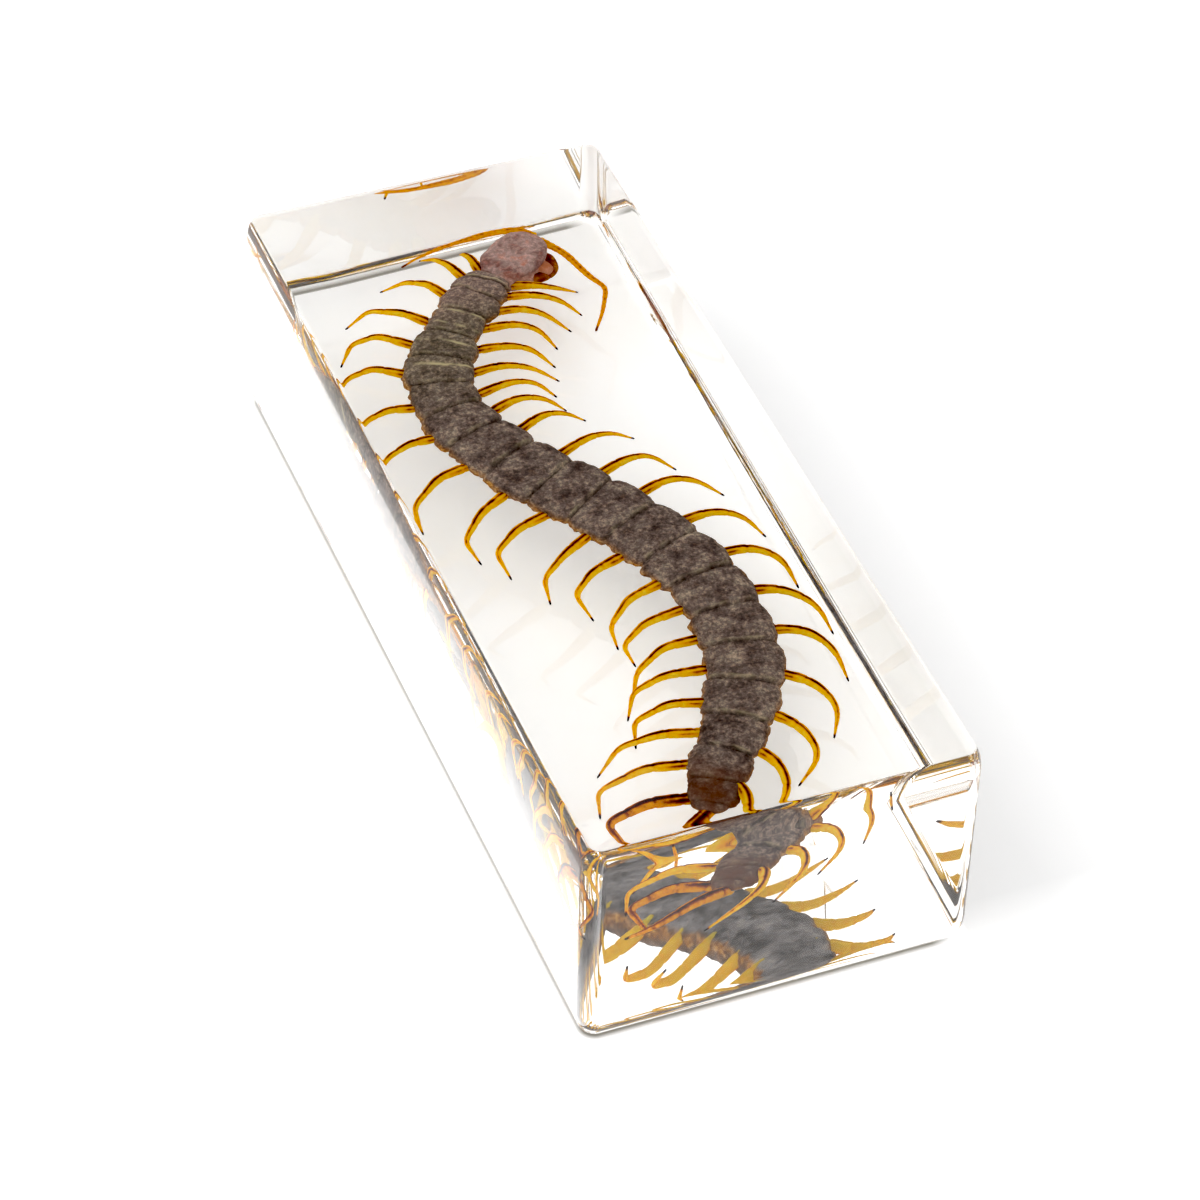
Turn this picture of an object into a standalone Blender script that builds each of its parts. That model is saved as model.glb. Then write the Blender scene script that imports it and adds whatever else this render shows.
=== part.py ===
# A dry centipede sealed in a clear cast resin block, kept as a paperweight.
# The block lies flat on its largest face, with its long side along Y.
# The head end of the centipede is at +Y and the legs spread along X.
# The clear block is parted in two halves round the specimen's pocket.
import math

import bmesh
import bpy
from mathutils import Matrix, Vector

MM = 0.001

# Driving dimensions of the block, in millimetres.
BLOCK_LENGTH = 110.0
BLOCK_WIDTH = 44.0
BLOCK_HEIGHT = 27.0
EDGE_RADIUS = 2.2
EDGE_STEPS = 3

# The two halves part at the height of the specimen, with a thin gap.
PARTING_HEIGHT = 12.0
PARTING_GAP = 0.3
POCKET_FLOOR = 8.8
POCKET_ROOF = 15.4

# Body of the centipede: height of its middle and thickness of its plates.
BODY_HEIGHT = 12.2
PLATE_THICKNESS = 4.0
PLATE_OVERLAP = 1.22
PLATE_ROUNDING = 1.5

# Heights of a leg at hip, arch, knee and claw.
LEG_HEIGHTS = (11.9, 13.0, 12.0, 9.9)
LEG_RADII = (0.62, 0.56, 0.42, 0.16)
LAST_LEG_RADII = (0.85, 0.75, 0.55, 0.22)
LEG_STEPS = 2
HIP_DEPTH = 0.4

# Middle of each leg-bearing segment and its half width, from head to tail.
SEGMENTS = (
    (3.9, 42.0, 2.6), (2.6, 40.7, 3.2), (0.4, 38.6, 3.5), (-2.2, 35.6, 3.0),
    (-4.7, 32.6, 3.7), (-6.7, 28.6, 3.9), (-7.7, 24.2, 3.8), (-7.2, 19.8, 4.1),
    (-5.6, 15.0, 4.4), (-3.0, 9.9, 4.6), (-0.1, 5.2, 4.7), (2.9, 0.8, 4.6),
    (5.4, -4.3, 4.6), (7.5, -9.6, 4.5), (8.4, -15.1, 4.3), (8.4, -20.8, 4.2),
    (7.2, -26.3, 4.3), (4.8, -31.4, 4.0), (2.0, -35.7, 3.5), (-0.9, -39.5, 3.2),
    (-3.2, -43.0, 2.7),
)

# Each leg in plan: hip, arch, knee, claw.
LEFT_LEGS = (
    ((3.6, 44.0), (3.2, 46.0), (2.9, 47.4), (2.9, 48.6)),
    ((1.6, 43.0), (0.4, 45.8), (-0.6, 47.8), (-1.8, 49.2)),
    ((-1.4, 41.0), (-2.9, 43.4), (-5.0, 45.1), (-7.8, 45.5)),
    ((-4.8, 37.2), (-7.2, 39.6), (-10.5, 41.8), (-13.6, 40.6)),
    ((-7.5, 34.0), (-11.2, 36.8), (-14.3, 36.8), (-16.2, 34.5)),
    ((-10.0, 29.4), (-13.5, 31.6), (-16.6, 31.4), (-19.0, 29.2)),
    ((-11.2, 24.0), (-14.3, 24.3), (-17.0, 23.9), (-19.2, 21.8)),
    ((-10.4, 18.2), (-14.0, 18.2), (-17.0, 17.2), (-19.0, 14.6)),
    ((-9.4, 12.6), (-13.0, 11.8), (-16.9, 8.7), (-17.0, 4.9)),
    ((-6.9, 7.4), (-10.5, 5.0), (-13.6, 1.7), (-12.7, -1.4)),
    ((-3.8, 2.4), (-7.8, 1.2), (-11.1, -1.2), (-10.5, -4.7)),
    ((-0.6, -1.8), (-4.5, -4.3), (-7.7, -6.7), (-8.0, -9.7)),
    ((1.0, -6.2), (-2.7, -7.9), (-5.5, -10.2), (-4.6, -13.6)),
    ((4.0, -11.5), (-0.6, -13.1), (-3.8, -16.0), (-3.8, -18.6)),
    ((4.5, -15.9), (-0.4, -17.2), (-3.6, -19.2), (-3.0, -21.6)),
    ((4.6, -20.6), (0.0, -21.3), (-3.7, -23.4), (-5.3, -26.4)),
    ((3.6, -25.0), (-1.4, -25.3), (-5.2, -26.1), (-6.8, -28.9)),
    ((1.8, -29.7), (-2.5, -29.4), (-6.7, -30.2), (-7.5, -33.0)),
    ((-0.5, -33.3), (-5.0, -33.3), (-9.6, -33.2), (-12.8, -35.6)),
    ((-3.7, -37.0), (-8.5, -37.4), (-13.9, -38.4), (-14.6, -41.2)),
    ((-5.0, -42.2), (-10.0, -42.2), (-14.8, -43.0), (-13.3, -47.2)),
)
RIGHT_LEGS = (
    ((6.2, 40.0), (8.3, 39.0), (10.6, 38.2), (13.1, 37.6)),
    ((5.0, 38.2), (7.8, 37.5), (10.4, 35.9), (12.1, 33.6)),
    ((3.0, 36.0), (5.3, 35.8), (7.8, 34.5), (10.0, 31.4)),
    ((1.0, 33.9), (3.7, 33.6), (6.3, 32.2), (7.5, 29.1)),
    ((-1.1, 30.9), (1.7, 30.3), (4.4, 29.3), (6.2, 26.3)),
    ((-3.1, 27.2), (0.0, 27.4), (3.3, 26.3), (5.8, 24.0)),
    ((-3.7, 23.7), (-0.3, 24.4), (2.8, 23.9), (4.6, 21.6)),
    ((-2.8, 21.0), (-0.3, 21.6), (2.8, 21.0), (4.8, 19.1)),
    ((-1.5, 17.0), (1.3, 18.0), (4.0, 17.9), (6.2, 16.8)),
    ((1.2, 11.7), (4.5, 12.7), (7.6, 13.0), (10.1, 12.2)),
    ((3.9, 7.3), (7.0, 7.9), (10.2, 8.2), (12.5, 5.8)),
    ((6.9, 3.0), (10.2, 3.4), (13.4, 2.6), (15.8, 0.1)),
    ((9.4, -2.6), (12.8, -3.1), (16.0, -4.5), (17.5, -7.6)),
    ((11.8, -8.7), (14.6, -9.9), (17.4, -12.2), (17.7, -16.2)),
    ((12.3, -15.2), (15.3, -17.0), (18.1, -20.1), (18.4, -24.0)),
    ((12.5, -21.9), (15.2, -23.7), (17.2, -27.0), (17.1, -31.1)),
    ((10.5, -28.2), (12.9, -31.3), (14.2, -35.2), (12.3, -38.4)),
    ((7.5, -33.4), (9.2, -37.2), (9.6, -41.3), (6.1, -43.6)),
    ((4.0, -37.8), (5.0, -41.5), (4.4, -45.3), (0.2, -48.0)),
    ((0.2, -41.8), (0.1, -44.5), (-1.2, -47.8), (-8.0, -50.8)),
    ((-4.0, -45.0), (-8.2, -47.6), (-13.1, -49.8), (-16.0, -47.2)),
)

# Head shield and the plate of the poison claws below it.
HEAD_CENTRE = (8.2, 45.0, 12.4)
HEAD_SIZE = (9.4, 7.0, 3.4)
CLAW_PLATE_CENTRE = (8.2, 43.6, 11.4)
CLAW_PLATE_SIZE = (8.6, 6.6, 2.8)
HEAD_TURN = math.radians(38.0)

# Feelers in plan with heights: points from the front of the head outwards.
LEFT_FEELER = (
    (11.6, 47.4, 12.4), (10.0, 49.3, 12.4), (6.5, 49.9, 12.2), (1.0, 49.6, 11.8),
    (-3.0, 48.6, 11.6), (-6.8, 47.6, 11.4),
)
RIGHT_FEELER = (
    (11.6, 46.8, 12.4), (13.6, 43.4, 12.4), (14.8, 38.8, 12.0), (16.0, 36.4, 11.6),
    (14.2, 32.8, 11.2), (12.3, 30.0, 11.0),
)
FEELER_RADII = (0.5, 0.42, 0.36, 0.28, 0.22, 0.15)

# Claw of each side of the head, from its root to its point.
RIGHT_CLAW = ((7.6, 41.8, 11.2), (11.2, 42.2, 11.0), (12.0, 44.6, 10.9))
LEFT_CLAW = ((5.4, 45.0, 11.2), (7.4, 48.0, 11.0), (10.4, 48.4, 10.9))
CLAW_RADII = (1.1, 0.9, 0.3)

# Outline of the pocket round the specimen, in plan.
POCKET_OUTLINE = (
    (-9.5, 51.0), (13.0, 51.0), (15.0, 45.0), (17.6, 38.0), (17.0, 33.0),
    (13.6, 28.6), (8.6, 24.0), (8.6, 18.6), (12.2, 14.0), (15.2, 8.0),
    (18.6, 1.0), (20.0, -8.0), (20.2, -24.0), (19.0, -33.0), (16.2, -39.0),
    (10.5, -45.0), (4.0, -50.0), (-6.0, -52.2), (-14.5, -52.2), (-18.0, -48.0),
    (-17.6, -40.0), (-14.6, -33.5), (-9.5, -26.0), (-7.6, -16.5), (-12.0, -8.0),
    (-16.0, -2.0), (-19.4, 4.0), (-20.3, 12.0), (-20.3, 31.0), (-18.6, 37.0),
    (-15.4, 43.0),
)


def clear_scene():
    for item in list(bpy.data.objects):
        bpy.data.objects.remove(item, do_unlink=True)


def make_collection(name):
    group = bpy.data.collections.new(name)
    bpy.context.scene.collection.children.link(group)
    return group


def principled(name, colour, roughness, transmission, ior):
    material = bpy.data.materials.new(name)
    material.use_nodes = True
    shader = material.node_tree.nodes["Principled BSDF"]
    shader.inputs["Base Color"].default_value = colour
    shader.inputs["Roughness"].default_value = roughness
    shader.inputs["Transmission Weight"].default_value = transmission
    shader.inputs["IOR"].default_value = ior
    return material


def object_from(work, name, group):
    bmesh.ops.recalc_face_normals(work, faces=work.faces)
    mesh = bpy.data.meshes.new(name)
    work.to_mesh(mesh)
    work.free()
    item = bpy.data.objects.new(name, mesh)
    group.objects.link(item)
    return item


def settle(item):
    """Give an object the mesh its modifiers make, and remove them."""
    graph = bpy.context.evaluated_depsgraph_get()
    mesh = bpy.data.meshes.new_from_object(item.evaluated_get(graph))
    item.modifiers.clear()
    item.data = mesh


def combine(item, other, operation):
    change = item.modifiers.new("combine", "BOOLEAN")
    change.operation = operation
    change.solver = "EXACT"
    change.object = other
    settle(item)


def rounded_box(size, rounding, steps, place):
    work = bmesh.new()
    bmesh.ops.create_cube(work, size=1.0)
    bmesh.ops.scale(work, vec=Vector(size) * MM, verts=work.verts)
    bmesh.ops.bevel(work, geom=list(work.edges), offset=rounding * MM, segments=steps,
                    profile=0.5, affect="EDGES", material=-1)
    bmesh.ops.transform(work, matrix=place, verts=work.verts)
    return work


def place_at(x, y, z, turn):
    return Matrix.Translation(Vector((x, y, z)) * MM) @ Matrix.Rotation(turn, 4, "Z")


def block_half(name, low, high, group):
    """One half of the clear block: the rounded block cut off between two heights."""
    middle = place_at(0.0, 0.0, BLOCK_HEIGHT / 2, 0.0)
    size = (BLOCK_WIDTH, BLOCK_LENGTH, BLOCK_HEIGHT)
    work = rounded_box(size, EDGE_RADIUS, EDGE_STEPS, middle)
    for height, outward in ((low, -1.0), (high, 1.0)):
        if height in (0.0, BLOCK_HEIGHT):
            continue
        cut = bmesh.ops.bisect_plane(work, geom=work.verts[:] + work.edges[:] + work.faces[:],
                                     plane_co=(0, 0, height * MM), plane_no=(0, 0, outward),
                                     clear_outer=True)
        rim = [part for part in cut["geom_cut"] if isinstance(part, bmesh.types.BMEdge)]
        bmesh.ops.holes_fill(work, edges=rim)
    return object_from(work, name, group)


def pocket_prism(name, low, high, group):
    """The hollow round the specimen, as a low prism."""
    work = bmesh.new()
    corners = [work.verts.new((x * MM, y * MM, low * MM)) for x, y in POCKET_OUTLINE]
    rim = [work.edges.new(pair) for pair in zip(corners, corners[1:] + corners[:1])]
    bmesh.ops.edgeloop_fill(work, edges=rim)
    raised = bmesh.ops.extrude_face_region(work, geom=work.faces[:])
    upper = [part for part in raised["geom"] if isinstance(part, bmesh.types.BMVert)]
    bmesh.ops.translate(work, vec=(0, 0, (high - low) * MM), verts=upper)
    return object_from(work, name, group)


def tube(name, points, radii, group):
    """A tapering limb with closed round ends, through its joints."""
    curve = bpy.data.curves.new(name, "CURVE")
    curve.dimensions = "3D"
    curve.bevel_depth = MM
    curve.bevel_resolution = 1
    curve.use_fill_caps = True
    curve.resolution_u = LEG_STEPS
    spline = curve.splines.new("BEZIER")
    spline.bezier_points.add(len(points) - 1)
    for joint, point, radius in zip(spline.bezier_points, points, radii):
        joint.co = Vector(point) * MM
        joint.radius = radius
        joint.handle_left_type = "AUTO"
        joint.handle_right_type = "AUTO"
    limb = bpy.data.objects.new(name, curve)
    group.objects.link(limb)
    graph = bpy.context.evaluated_depsgraph_get()
    mesh = bpy.data.meshes.new_from_object(limb.evaluated_get(graph))
    work = bmesh.new()
    work.from_mesh(mesh)
    bmesh.ops.remove_doubles(work, verts=work.verts, dist=0.00001)
    bpy.data.objects.remove(limb, do_unlink=True)
    return object_from(work, name, group)


def leg(name, joints, radii, segment, group):
    """A leg whose hip reaches into its body segment, so that the two grow together."""
    points = [Vector((x, y, z)) for (x, y), z in zip(joints, LEG_HEIGHTS)]
    middle = Vector((segment[0], segment[1], LEG_HEIGHTS[0]))
    points[0] = points[0].lerp(middle, HIP_DEPTH)
    return tube(name, points, radii, group)


def segment_turn(index):
    """Turn of a body segment about the upright axis, from its neighbours."""
    before = SEGMENTS[max(index - 1, 0)]
    after = SEGMENTS[min(index + 1, len(SEGMENTS) - 1)]
    return math.atan2(before[1] - after[1], before[0] - after[0]) - math.pi / 2


def segment_length(index):
    before = SEGMENTS[max(index - 1, 0)]
    after = SEGMENTS[min(index + 1, len(SEGMENTS) - 1)]
    spans = 2 if 0 < index < len(SEGMENTS) - 1 else 1
    return math.hypot(before[0] - after[0], before[1] - after[1]) / spans


def body_pieces(group):
    """Body segments, head, poison claws, feelers and legs, before they are fused."""
    pieces = []
    for index, (x, y, half_width) in enumerate(SEGMENTS):
        length = max(segment_length(index) * PLATE_OVERLAP, 3.6)
        thickness = PLATE_THICKNESS * (0.72 + 0.28 * half_width / 4.7)
        # Every second plate stands a little higher, so no two tops share a plane.
        lift = 0.07 * (index % 2)
        size = (2 * half_width, length, thickness)
        place = place_at(x, y, BODY_HEIGHT + lift, segment_turn(index))
        work = rounded_box(size, PLATE_ROUNDING, 2, place)
        pieces.append(object_from(work, "plate", group))
    for centre, size in ((HEAD_CENTRE, HEAD_SIZE), (CLAW_PLATE_CENTRE, CLAW_PLATE_SIZE)):
        work = bmesh.new()
        bmesh.ops.create_uvsphere(work, u_segments=16, v_segments=8, radius=0.5)
        bmesh.ops.scale(work, vec=Vector(size) * MM, verts=work.verts)
        place = place_at(centre[0], centre[1], centre[2], HEAD_TURN)
        bmesh.ops.transform(work, matrix=place, verts=work.verts)
        pieces.append(object_from(work, "head", group))
    for joints in (RIGHT_CLAW, LEFT_CLAW):
        pieces.append(tube("claw", joints, CLAW_RADII, group))
    for joints in (LEFT_FEELER, RIGHT_FEELER):
        pieces.append(tube("feeler", joints, FEELER_RADII, group))
    for side in (LEFT_LEGS, RIGHT_LEGS):
        for index, joints in enumerate(side):
            radii = LAST_LEG_RADII if index == len(side) - 1 else LEG_RADII
            pieces.append(leg("leg", joints, radii, SEGMENTS[index], group))
    return pieces


def fuse(pieces, name, group):
    """Fuse the grown parts of the centipede into one solid."""
    whole = pieces[0]
    for piece in pieces[1:]:
        combine(whole, piece, "UNION")
        bpy.data.objects.remove(piece, do_unlink=True)
    work = bmesh.new()
    work.from_mesh(whole.data)
    bmesh.ops.remove_doubles(work, verts=work.verts, dist=0.00002)
    bmesh.ops.dissolve_degenerate(work, edges=work.edges, dist=0.00002)
    bpy.data.objects.remove(whole, do_unlink=True)
    return object_from(work, name, group)


clear_scene()
parts = make_collection("Centipede_In_Resin_Block")
cutters = make_collection("Cutters")
cutters.hide_render = True

clear_resin = principled("Clear cast resin", (0.97, 0.96, 0.93, 1.0), 0.02, 1.0, 1.54)
clear_resin_top = principled("Clear cast resin, upper half", (0.97, 0.96, 0.93, 1.0), 0.02, 1.0, 1.54)
brown_shell = principled("Dry brown shell", (0.075, 0.045, 0.030, 1.0), 0.5, 0.0, 1.5)

lower_top = PARTING_HEIGHT - PARTING_GAP / 2
upper_base = PARTING_HEIGHT + PARTING_GAP / 2
halves = (
    ("resin_lower", 0.0, lower_top, POCKET_FLOOR, lower_top + 1.0, clear_resin),
    ("resin_upper", upper_base, BLOCK_HEIGHT, upper_base - 1.0, POCKET_ROOF, clear_resin_top),
)
for half_name, low, high, pocket_low, pocket_high, finish in halves:
    half = block_half(half_name, low, high, parts)
    hollow = pocket_prism(half_name + "_pocket", pocket_low, pocket_high, cutters)
    hollow.hide_render = True
    hollow.display_type = "WIRE"
    combine(half, hollow, "DIFFERENCE")
    half.data.materials.clear()
    half.data.materials.append(finish)

centipede = fuse(body_pieces(parts), "centipede", parts)
centipede.data.materials.clear()
centipede.data.materials.append(brown_shell)
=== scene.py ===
# %% [markdown]
# # A centipede in a clear resin block
#
# The object is a paperweight: a dried centipede cast into a clear block about 110 mm long.
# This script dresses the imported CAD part. One clear piece stands for the two resin halves,
# and finely shaped pieces of the animal stand for its one fused CAD solid.
# Everything is in the shared frame: the origin is the centre of the block's underside,
# +Z is up and +Y runs along the block towards the animal's head.

import math

import bmesh
import bpy
from mathutils import Matrix, Vector, noise


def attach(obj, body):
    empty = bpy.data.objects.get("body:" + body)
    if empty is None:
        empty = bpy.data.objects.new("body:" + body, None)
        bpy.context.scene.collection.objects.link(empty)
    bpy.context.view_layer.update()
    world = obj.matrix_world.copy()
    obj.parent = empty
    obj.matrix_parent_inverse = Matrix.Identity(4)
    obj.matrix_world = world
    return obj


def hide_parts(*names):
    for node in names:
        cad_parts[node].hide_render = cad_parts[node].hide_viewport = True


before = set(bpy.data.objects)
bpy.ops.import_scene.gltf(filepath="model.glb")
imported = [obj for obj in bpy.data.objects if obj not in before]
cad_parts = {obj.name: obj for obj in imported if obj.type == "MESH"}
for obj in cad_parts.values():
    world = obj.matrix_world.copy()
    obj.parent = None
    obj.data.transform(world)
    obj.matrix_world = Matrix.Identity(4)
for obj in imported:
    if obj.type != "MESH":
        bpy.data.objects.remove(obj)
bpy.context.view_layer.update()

# %% [markdown]
# ## Small tools
#
# The object's sizes are real millimetres, so one constant turns them into metres.
# Colours are written as sRGB hex, the way they are read off a picture, and one function
# turns them linear, because the shaders mix light and not screen values.
# One more function adds a shader node together with its settings and links.

# %% Units, colours and nodes
MM = 0.001


def linear(hex_colour):
    """An sRGB hex colour as linear red, green, blue and alpha."""
    parts = [int(hex_colour[i:i + 2], 16) / 255 for i in (0, 2, 4)]
    turned = [c / 12.92 if c <= 0.04045 else ((c + 0.055) / 1.055) ** 2.4 for c in parts]
    return (*turned, 1.0)


def new_material(name):
    """A material with an empty node tree."""
    made = bpy.data.materials.new(name)
    made.use_nodes = True
    made.node_tree.nodes.clear()
    return made


def add(made, kind, links=None, values=None, stops=(), **settings):
    """Add a node, set its properties and sockets, and link its inputs by name or number."""
    tree = made.node_tree
    node = tree.nodes.new(kind)
    for name, value in settings.items():
        setattr(node, name, value)
    for socket, value in (values or {}).items():
        node.inputs[socket].default_value = value
    for socket, source in (links or {}).items():
        tree.links.new(source, node.inputs[socket])
    for number, (position, colour) in enumerate(stops):
        if number > 1:
            node.color_ramp.elements.new(position)
        node.color_ramp.elements[number].position = position
        node.color_ramp.elements[number].color = linear(colour)
    return node


# %% Handing a modelled piece over
def finish_piece(work, name, finish, replaced):
    """Turn modelled work into a smooth piece that rides on the frame."""
    bmesh.ops.recalc_face_normals(work, faces=work.faces)
    mesh = bpy.data.meshes.new(name)
    work.to_mesh(mesh)
    work.free()
    mesh.shade_smooth()
    mesh.materials.append(finish)
    piece = bpy.data.objects.new(name, mesh)
    bpy.context.scene.collection.objects.link(piece)
    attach(piece, "root")
    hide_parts(*replaced)
    mesh.calc_loop_triangles()
    print(name, "has", len(mesh.loop_triangles), "triangles")


# %% [markdown]
# ## Clear cast resin
#
# The block is cast in a mould and polished. Its faces are flat, its upright edges are rounded
# by about 2 mm, and its rims roll over 1 mm wide and 3 mm deep. It could be cut from two
# halves like the CAD, but a real casting has no seam, so one solid with a dense bevel is
# used. The animal sits straight in it, with no hollow, because resin wets the shell and
# leaves no air.

# %% Finish of the resin
# Polished clear resin: plain transmission at IOR 1.54. A slow waviness of a few thousandths
# of a millimetre breaks the glints on the edges, and a thin warm absorption tints long paths.
RESIN_IOR = 1.54
resin = new_material("Clear cast resin, polished")
place = add(resin, "ShaderNodeTexCoord")
waves = add(resin, "ShaderNodeTexNoise", {"Vector": place.outputs["Object"]},
            {"Scale": 60.0, "Detail": 1.0})
bump = add(resin, "ShaderNodeBump", {"Height": waves.outputs["Fac"]},
           {"Strength": 0.02, "Distance": 0.0004})
tint = add(resin, "ShaderNodeValToRGB", {"Fac": waves.outputs["Fac"]},
           stops=((0.3, "FFFFFF"), (0.7, "FEFEFC")))
surface = add(resin, "ShaderNodeBsdfPrincipled",
              {"Base Color": tint.outputs["Color"], "Normal": bump.outputs["Normal"]},
              {"Roughness": 0.0, "IOR": RESIN_IOR, "Transmission Weight": 1.0})
depth = add(resin, "ShaderNodeVolumeAbsorption", values={"Color": linear("FFFAEE"), "Density": 1.0})
add(resin, "ShaderNodeOutputMaterial",
    {"Surface": surface.outputs["BSDF"], "Volume": depth.outputs["Volume"]})
print(resin.name, "has", len(resin.node_tree.nodes), "nodes")

# %% The block
# The upright edges are rounded first. The top and bottom rims are rounded while the block
# is squashed, so that stretching it back gives them a roll deeper than it is wide.
BLOCK_WIDTH = 44.0
BLOCK_LENGTH = 110.0
BLOCK_HEIGHT = 27.0
UPRIGHT_RADIUS = 2.2
RIM_RADIUS = 1.0
RIM_STRETCH = 3.0
EDGE_STEPS = 12

work = bmesh.new()
bmesh.ops.create_cube(work, size=1.0)
squashed = Vector((BLOCK_WIDTH, BLOCK_LENGTH, BLOCK_HEIGHT / RIM_STRETCH)) * MM
bmesh.ops.scale(work, vec=squashed, verts=work.verts)
upright = [e for e in work.edges if abs(e.verts[0].co.z - e.verts[1].co.z) > MM]
bmesh.ops.bevel(work, geom=upright, offset=UPRIGHT_RADIUS * MM, segments=EDGE_STEPS,
                profile=0.5, affect="EDGES", material=-1)
rims = [e for e in work.edges if abs(e.verts[0].co.z - e.verts[1].co.z) < 0.1 * MM]
bmesh.ops.bevel(work, geom=rims, offset=RIM_RADIUS * MM, segments=EDGE_STEPS,
                profile=0.5, affect="EDGES", material=-1)
bmesh.ops.scale(work, vec=(1.0, 1.0, RIM_STRETCH), verts=work.verts)
bmesh.ops.translate(work, vec=(0, 0, BLOCK_HEIGHT / 2 * MM), verts=work.verts)
finish_piece(work, "resin_block", resin, ("resin_lower", "resin_upper"))

# %% [markdown]
# ## Where the animal lies
#
# The animal is bent in an S, so every part is placed from one row of body segments. Each
# row holds the middle of a segment and its half width in mm, from the head to the tail.
# The legs are given in plan by hip, arch, knee and claw, because each dried in its own pose.

# %% Body segments and leg poses
SEGMENTS = (
    (3.9, 42.0, 2.6), (2.6, 40.7, 3.2), (0.4, 38.6, 3.5), (-2.2, 35.6, 3.0),
    (-4.7, 32.6, 3.7), (-6.7, 28.6, 3.9), (-7.7, 24.2, 3.8), (-7.2, 19.8, 4.1),
    (-5.6, 15.0, 4.4), (-3.0, 9.9, 4.6), (-0.1, 5.2, 4.7), (2.9, 0.8, 4.6),
    (5.4, -4.3, 4.6), (7.5, -9.6, 4.5), (8.4, -15.1, 4.3), (8.4, -20.8, 4.2),
    (7.2, -26.3, 4.3), (4.8, -31.4, 4.0), (2.0, -35.7, 3.5), (-0.9, -39.5, 3.2),
    (-3.2, -43.0, 2.7),
)
LEFT_LEGS = (
    ((3.6, 44.0), (3.2, 46.0), (2.9, 47.4), (2.9, 48.6)),
    ((1.6, 43.0), (0.4, 45.8), (-0.6, 47.8), (-1.8, 49.2)),
    ((-1.4, 41.0), (-2.9, 43.4), (-5.0, 45.1), (-7.8, 45.5)),
    ((-4.8, 37.2), (-7.2, 39.6), (-10.5, 41.8), (-13.6, 40.6)),
    ((-7.5, 34.0), (-11.2, 36.8), (-14.3, 36.8), (-16.2, 34.5)),
    ((-10.0, 29.4), (-13.5, 31.6), (-16.6, 31.4), (-19.0, 29.2)),
    ((-11.2, 24.0), (-14.3, 24.3), (-17.0, 23.9), (-19.2, 21.8)),
    ((-10.4, 18.2), (-14.0, 18.2), (-17.0, 17.2), (-19.0, 14.6)),
    ((-9.4, 12.6), (-13.0, 11.8), (-16.9, 8.7), (-17.0, 4.9)),
    ((-6.9, 7.4), (-10.5, 5.0), (-13.6, 1.7), (-12.7, -1.4)),
    ((-3.8, 2.4), (-7.8, 1.2), (-11.1, -1.2), (-10.5, -4.7)),
    ((-0.6, -1.8), (-4.5, -4.3), (-7.7, -6.7), (-8.0, -9.7)),
    ((1.0, -6.2), (-2.7, -7.9), (-5.5, -10.2), (-4.6, -13.6)),
    ((4.0, -11.5), (-0.6, -13.1), (-3.8, -16.0), (-3.8, -18.6)),
    ((4.5, -15.9), (-0.4, -17.2), (-3.6, -19.2), (-3.0, -21.6)),
    ((4.6, -20.6), (0.0, -21.3), (-3.7, -23.4), (-5.3, -26.4)),
    ((3.6, -25.0), (-1.4, -25.3), (-5.2, -26.1), (-6.8, -28.9)),
    ((1.8, -29.7), (-2.5, -29.4), (-6.7, -30.2), (-7.5, -33.0)),
    ((-0.5, -33.3), (-5.0, -33.3), (-9.6, -33.2), (-12.8, -35.6)),
    ((-3.7, -37.0), (-8.5, -37.4), (-13.9, -38.4), (-14.6, -41.2)),
    ((-5.0, -42.2), (-10.0, -42.2), (-14.8, -43.0), (-13.3, -47.2)),
)
RIGHT_LEGS = (
    ((6.2, 40.0), (8.3, 39.0), (10.6, 38.2), (13.1, 37.6)),
    ((5.0, 38.2), (7.8, 37.5), (10.4, 35.9), (12.1, 33.6)),
    ((3.0, 36.0), (5.3, 35.8), (7.8, 34.5), (10.0, 31.4)),
    ((1.0, 33.9), (3.7, 33.6), (6.3, 32.2), (7.5, 29.1)),
    ((-1.1, 30.9), (1.7, 30.3), (4.4, 29.3), (6.2, 26.3)),
    ((-3.1, 27.2), (0.0, 27.4), (3.3, 26.3), (5.8, 24.0)),
    ((-3.7, 23.7), (-0.3, 24.4), (2.8, 23.9), (4.6, 21.6)),
    ((-2.8, 21.0), (-0.3, 21.6), (2.8, 21.0), (4.8, 19.1)),
    ((-1.5, 17.0), (1.3, 18.0), (4.0, 17.9), (6.2, 16.8)),
    ((1.2, 11.7), (4.5, 12.7), (7.6, 13.0), (10.1, 12.2)),
    ((3.9, 7.3), (7.0, 7.9), (10.2, 8.2), (12.5, 5.8)),
    ((6.9, 3.0), (10.2, 3.4), (13.4, 2.6), (15.8, 0.1)),
    ((9.4, -2.6), (12.8, -3.1), (16.0, -4.5), (17.5, -7.6)),
    ((11.8, -8.7), (14.6, -9.9), (17.4, -12.2), (17.7, -16.2)),
    ((12.3, -15.2), (15.3, -17.0), (18.1, -20.1), (18.4, -24.0)),
    ((12.5, -21.9), (15.2, -23.7), (17.2, -27.0), (17.1, -31.1)),
    ((10.5, -28.2), (12.9, -31.3), (14.2, -35.2), (12.3, -38.4)),
    ((7.5, -33.4), (9.2, -37.2), (9.6, -41.3), (6.1, -43.6)),
    ((4.0, -37.8), (5.0, -41.5), (4.4, -45.3), (0.2, -48.0)),
    ((0.2, -41.8), (0.1, -44.5), (-1.2, -47.8), (-8.0, -50.8)),
    ((-4.0, -45.0), (-8.2, -47.6), (-13.1, -49.8), (-16.0, -47.2)),
)
print(len(SEGMENTS), "segments,", len(LEFT_LEGS) + len(RIGHT_LEGS), "legs")

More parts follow.
